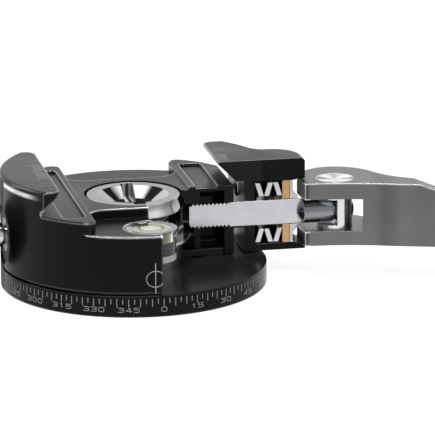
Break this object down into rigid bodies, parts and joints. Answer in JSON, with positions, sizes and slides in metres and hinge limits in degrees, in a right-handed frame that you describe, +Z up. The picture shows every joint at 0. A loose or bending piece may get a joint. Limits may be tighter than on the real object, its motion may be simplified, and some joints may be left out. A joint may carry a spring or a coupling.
{
  "type": "panoramic tripod head",
  "caption": "Low round panning base with a degree scale, carrying a dovetail plate clamp closed by a cam lever; sectioned to show the drawbar, springs and pan bearing.",
  "frame": {"origin": "centre of the tripod thread, on the face that sits on the tripod", "axes": "+Z up along the pan axis; +X from the fixed jaw to the lever, across the clamp; +Y along the plate channel, away from the bull's-eye level; the lever is open and points along +X"},
  "size_m": [0.1236, 0.053, 0.0235],
  "materials": {
    "black_anodised": "satin black anodised",
    "grey_anodised": "polished grey anodised",
    "turned_steel": "turned, bright",
    "spring_steel": "bright",
    "black_steel": "black oxide",
    "chrome": "polished",
    "brass": "satin",
    "black_polymer": "matt",
    "white_plastic": "matt",
    "clear_acrylic": "clear",
    "level_fluid": "clear green-yellow"
  },
  "bodies": {
    "base": {"base_disc": "black_anodised", "hub_post": "turned_steel", "hub_screws": "black_steel", "tripod_bush": "turned_steel", "centre_screw": "chrome", "hub_circlip": "spring_steel"},
    "clamp": {"clamp_body": "black_anodised", "bearing_ring": "black_steel", "friction_washer": "black_polymer", "thrust_washer": "black_polymer", "drawbar": "turned_steel", "lock_nut": "turned_steel", "guide_pin": "turned_steel", "return_spring": "spring_steel", "cam_pin": "turned_steel", "cam_pin_clip": "spring_steel", "level_vial": "clear_acrylic", "level_fluid": "level_fluid", "level_bubble": "clear_acrylic", "level_seat": "white_plastic", "lock_bush": "brass"},
    "jaw": {"moving_jaw": "black_anodised", "disc_spring_1": "spring_steel", "disc_spring_2": "spring_steel", "disc_spring_3": "spring_steel", "spring_washer": "brass", "cam_washer": "turned_steel"},
    "lever": {"cam_lever": "grey_anodised"},
    "brake": {"brake_plunger": "white_plastic"},
    "pan_knob": {"lock_screw": "chrome", "lock_knob": "black_anodised", "lock_cap": "black_polymer"}
  },
  "joints": [
    {"name": "pan_turn", "type": "hinge", "parent": "base", "child": "clamp", "pos_m": [0, 0, 0], "axis": [0, 0, 1], "continuous": true},
    {"name": "lever_turn", "type": "hinge", "parent": "clamp", "child": "lever", "pos_m": [0.041, 0, 0.01265], "axis": [0, 0, 1], "range_deg": [0, 90]},
    {"name": "jaw_slide", "type": "slide", "parent": "clamp", "child": "jaw", "axis": [-1, 0, 0], "range_m": [0, 0.002], "deforming": ["return_spring"]},
    {"name": "brake_slide", "type": "slide", "parent": "clamp", "child": "brake", "axis": [1, 0, 0], "range_m": [0, 0.0004]},
    {"name": "knob_turn", "type": "hinge", "parent": "brake", "child": "pan_knob", "pos_m": [-0.0335, 0, 0.0112], "axis": [1, 0, 0], "range_deg": [0, 180]}
  ],
  "couplings": [
    {"joint": "jaw_slide", "follows": "lever_turn", "m_per_rad": 0.0012732},
    {"joint": "knob_turn", "follows": "brake_slide", "rad_per_m": 7854}
  ]
}
